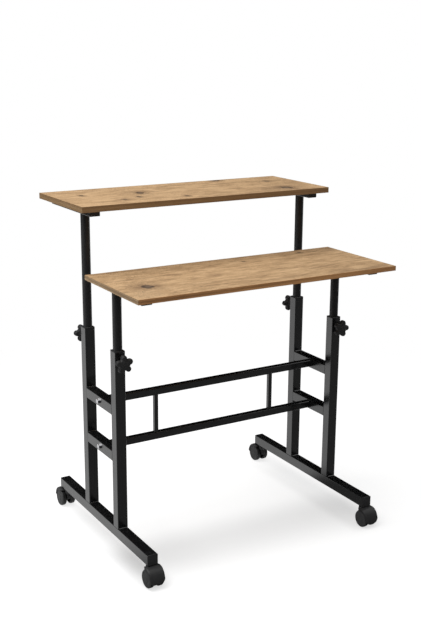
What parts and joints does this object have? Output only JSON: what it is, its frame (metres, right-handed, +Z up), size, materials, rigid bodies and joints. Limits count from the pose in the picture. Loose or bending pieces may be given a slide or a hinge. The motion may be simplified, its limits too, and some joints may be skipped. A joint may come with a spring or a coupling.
{
  "type": "height-adjustable desk",
  "caption": "Rolling desk with a lower front board and a higher rear board on round posts that slide in a square-tube frame and are clamped by star knobs.",
  "frame": {"origin": "on the floor, under the middle of the feet", "axes": "+X to the right seen from the user's side, +Y to the back (the higher board), +Z up"},
  "size_m": [0.8, 0.6396, 0.966],
  "materials": {
    "frame_paint": "glossy black powder coat",
    "post_coat": "satin black powder coat",
    "black_plastic": "satin moulded black",
    "knob_plastic": "satin moulded black",
    "caster_plastic": "semi-gloss moulded black",
    "wheel_nylon": "satin black nylon",
    "zinc_steel": "bright zinc",
    "board_wood": "satin wood-grain laminate with knots",
    "edge_banding": "satin brown wood-grain edging"
  },
  "bodies": {
    "frame": {"left_foot": "frame_paint", "right_foot": "frame_paint", "foot_caps": "black_plastic", "front_left_upright": "frame_paint", "front_right_upright": "frame_paint", "rear_left_upright": "frame_paint", "rear_right_upright": "frame_paint", "left_cross_tubes": "frame_paint", "right_cross_tubes": "frame_paint", "upper_crossbeam": "frame_paint", "lower_crossbeam": "frame_paint", "spacer_bars": "frame_paint", "beam_bolts": "zinc_steel", "beam_end_blocks": "zinc_steel", "collars": "black_plastic", "knob_nuts": "frame_paint", "caster_nuts": "zinc_steel", "caster_stems": "zinc_steel"},
    "lower_shelf": {"lower_board": "board_wood", "lower_edge_band": "edge_banding", "lower_brackets": "frame_paint", "lower_bracket_caps": "black_plastic", "lower_left_post": "post_coat", "lower_right_post": "post_coat", "lower_post_glides": "black_plastic", "lower_screws": "zinc_steel"},
    "upper_shelf": {"upper_board": "board_wood", "upper_edge_band": "edge_banding", "upper_brackets": "frame_paint", "upper_bracket_caps": "black_plastic", "upper_left_post": "post_coat", "upper_right_post": "post_coat", "upper_post_glides": "black_plastic", "upper_screws": "zinc_steel"},
    "front_left_knob": {"front_left_knob": "knob_plastic", "front_left_knob_stud": "zinc_steel"},
    "front_right_knob": {"front_right_knob": "knob_plastic", "front_right_knob_stud": "zinc_steel"},
    "rear_left_knob": {"rear_left_knob": "knob_plastic", "rear_left_knob_stud": "zinc_steel"},
    "rear_right_knob": {"rear_right_knob": "knob_plastic", "rear_right_knob_stud": "zinc_steel"},
    "front_left_caster": {"front_left_caster_hood": "caster_plastic", "front_left_caster_axle": "zinc_steel"},
    "front_right_caster": {"front_right_caster_hood": "caster_plastic", "front_right_caster_axle": "zinc_steel"},
    "rear_left_caster": {"rear_left_caster_hood": "caster_plastic", "rear_left_caster_axle": "zinc_steel"},
    "rear_right_caster": {"rear_right_caster_hood": "caster_plastic", "rear_right_caster_axle": "zinc_steel"},
    "front_left_wheel_a": {"front_left_caster_wheel_a": "wheel_nylon"},
    "front_left_wheel_b": {"front_left_caster_wheel_b": "wheel_nylon"},
    "front_right_wheel_a": {"front_right_caster_wheel_a": "wheel_nylon"},
    "front_right_wheel_b": {"front_right_caster_wheel_b": "wheel_nylon"},
    "rear_left_wheel_a": {"rear_left_caster_wheel_a": "wheel_nylon"},
    "rear_left_wheel_b": {"rear_left_caster_wheel_b": "wheel_nylon"},
    "rear_right_wheel_a": {"rear_right_caster_wheel_a": "wheel_nylon"},
    "rear_right_wheel_b": {"rear_right_caster_wheel_b": "wheel_nylon"}
  },
  "joints": [
    {"name": "lower_shelf_slide", "type": "slide", "parent": "frame", "child": "lower_shelf", "axis": [0, 0, 1], "range_m": [-0.15, 0.15]},
    {"name": "upper_shelf_slide", "type": "slide", "parent": "frame", "child": "upper_shelf", "axis": [0, 0, 1], "range_m": [-0.31, 0.1]},
    {"name": "front_left_knob_turn", "type": "hinge", "parent": "frame", "child": "front_left_knob", "pos_m": [-0.355, -0.114, 0.569], "axis": [0, -1, 0], "range_deg": [0, 360]},
    {"name": "front_right_knob_turn", "type": "hinge", "parent": "frame", "child": "front_right_knob", "pos_m": [0.355, -0.114, 0.569], "axis": [0, -1, 0], "range_deg": [0, 360]},
    {"name": "rear_left_knob_turn", "type": "hinge", "parent": "frame", "child": "rear_left_knob", "pos_m": [-0.355, 0.106, 0.589], "axis": [0, 1, 0], "range_deg": [0, 360]},
    {"name": "rear_right_knob_turn", "type": "hinge", "parent": "frame", "child": "rear_right_knob", "pos_m": [0.355, 0.106, 0.589], "axis": [0, 1, 0], "range_deg": [0, 360]},
    {"name": "front_left_caster_swivel", "type": "hinge", "parent": "frame", "child": "front_left_caster", "pos_m": [-0.355, -0.272, 0.057], "axis": [0, 0, 1], "continuous": true},
    {"name": "front_right_caster_swivel", "type": "hinge", "parent": "frame", "child": "front_right_caster", "pos_m": [0.355, -0.272, 0.057], "axis": [0, 0, 1], "continuous": true},
    {"name": "rear_left_caster_swivel", "type": "hinge", "parent": "frame", "child": "rear_left_caster", "pos_m": [-0.355, 0.272, 0.057], "axis": [0, 0, 1], "continuous": true},
    {"name": "rear_right_caster_swivel", "type": "hinge", "parent": "frame", "child": "rear_right_caster", "pos_m": [0.355, 0.272, 0.057], "axis": [0, 0, 1], "continuous": true},
    {"name": "front_left_wheel_a_roll", "type": "hinge", "parent": "front_left_caster", "child": "front_left_wheel_a", "pos_m": [-0.355, -0.29, 0.025], "axis": [1, 0, 0], "continuous": true},
    {"name": "front_left_wheel_b_roll", "type": "hinge", "parent": "front_left_caster", "child": "front_left_wheel_b", "pos_m": [-0.355, -0.29, 0.025], "axis": [1, 0, 0], "continuous": true},
    {"name": "front_right_wheel_a_roll", "type": "hinge", "parent": "front_right_caster", "child": "front_right_wheel_a", "pos_m": [0.355, -0.29, 0.025], "axis": [1, 0, 0], "continuous": true},
    {"name": "front_right_wheel_b_roll", "type": "hinge", "parent": "front_right_caster", "child": "front_right_wheel_b", "pos_m": [0.355, -0.29, 0.025], "axis": [1, 0, 0], "continuous": true},
    {"name": "rear_left_wheel_a_roll", "type": "hinge", "parent": "rear_left_caster", "child": "rear_left_wheel_a", "pos_m": [-0.355, 0.29, 0.025], "axis": [1, 0, 0], "continuous": true},
    {"name": "rear_left_wheel_b_roll", "type": "hinge", "parent": "rear_left_caster", "child": "rear_left_wheel_b", "pos_m": [-0.355, 0.29, 0.025], "axis": [1, 0, 0], "continuous": true},
    {"name": "rear_right_wheel_a_roll", "type": "hinge", "parent": "rear_right_caster", "child": "rear_right_wheel_a", "pos_m": [0.355, 0.29, 0.025], "axis": [1, 0, 0], "continuous": true},
    {"name": "rear_right_wheel_b_roll", "type": "hinge", "parent": "rear_right_caster", "child": "rear_right_wheel_b", "pos_m": [0.355, 0.29, 0.025], "axis": [1, 0, 0], "continuous": true}
  ]
}
